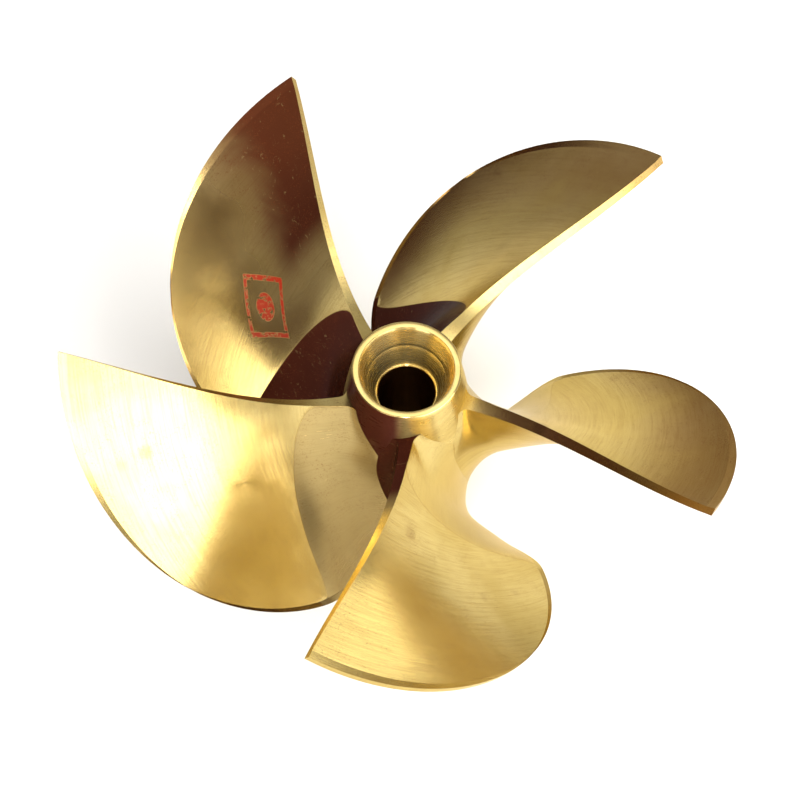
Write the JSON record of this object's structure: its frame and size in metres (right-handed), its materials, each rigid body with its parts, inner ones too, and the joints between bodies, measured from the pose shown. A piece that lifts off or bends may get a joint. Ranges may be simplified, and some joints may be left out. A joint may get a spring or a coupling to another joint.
{
  "type": "boat propeller",
  "caption": "Left-handed cleaver boat propeller, cast in one piece, with a taper-bored barrel hub and a deep conical counterbore at its aft end.",
  "frame": {"origin": "on the shaft axis in the plane of the hub's forward face, at the large end of the taper bore", "axes": "+Z along the shaft axis, pointing aft out of the counterbore, so the propeller stands on its forward face; blade_1's trailing edge at 0.6 R lies 116.5 degrees from +X towards +Y"},
  "size_m": [0.549, 0.5423, 0.3138],
  "materials": {
    "machined_bronze": "satin",
    "hub_bronze": "satin"
  },
  "bodies": {
    "root": {"hub": "hub_bronze", "blade_1": "machined_bronze", "blade_2": "machined_bronze", "blade_3": "machined_bronze", "blade_4": "machined_bronze", "blade_5": "machined_bronze"}
  },
  "joints": []
}
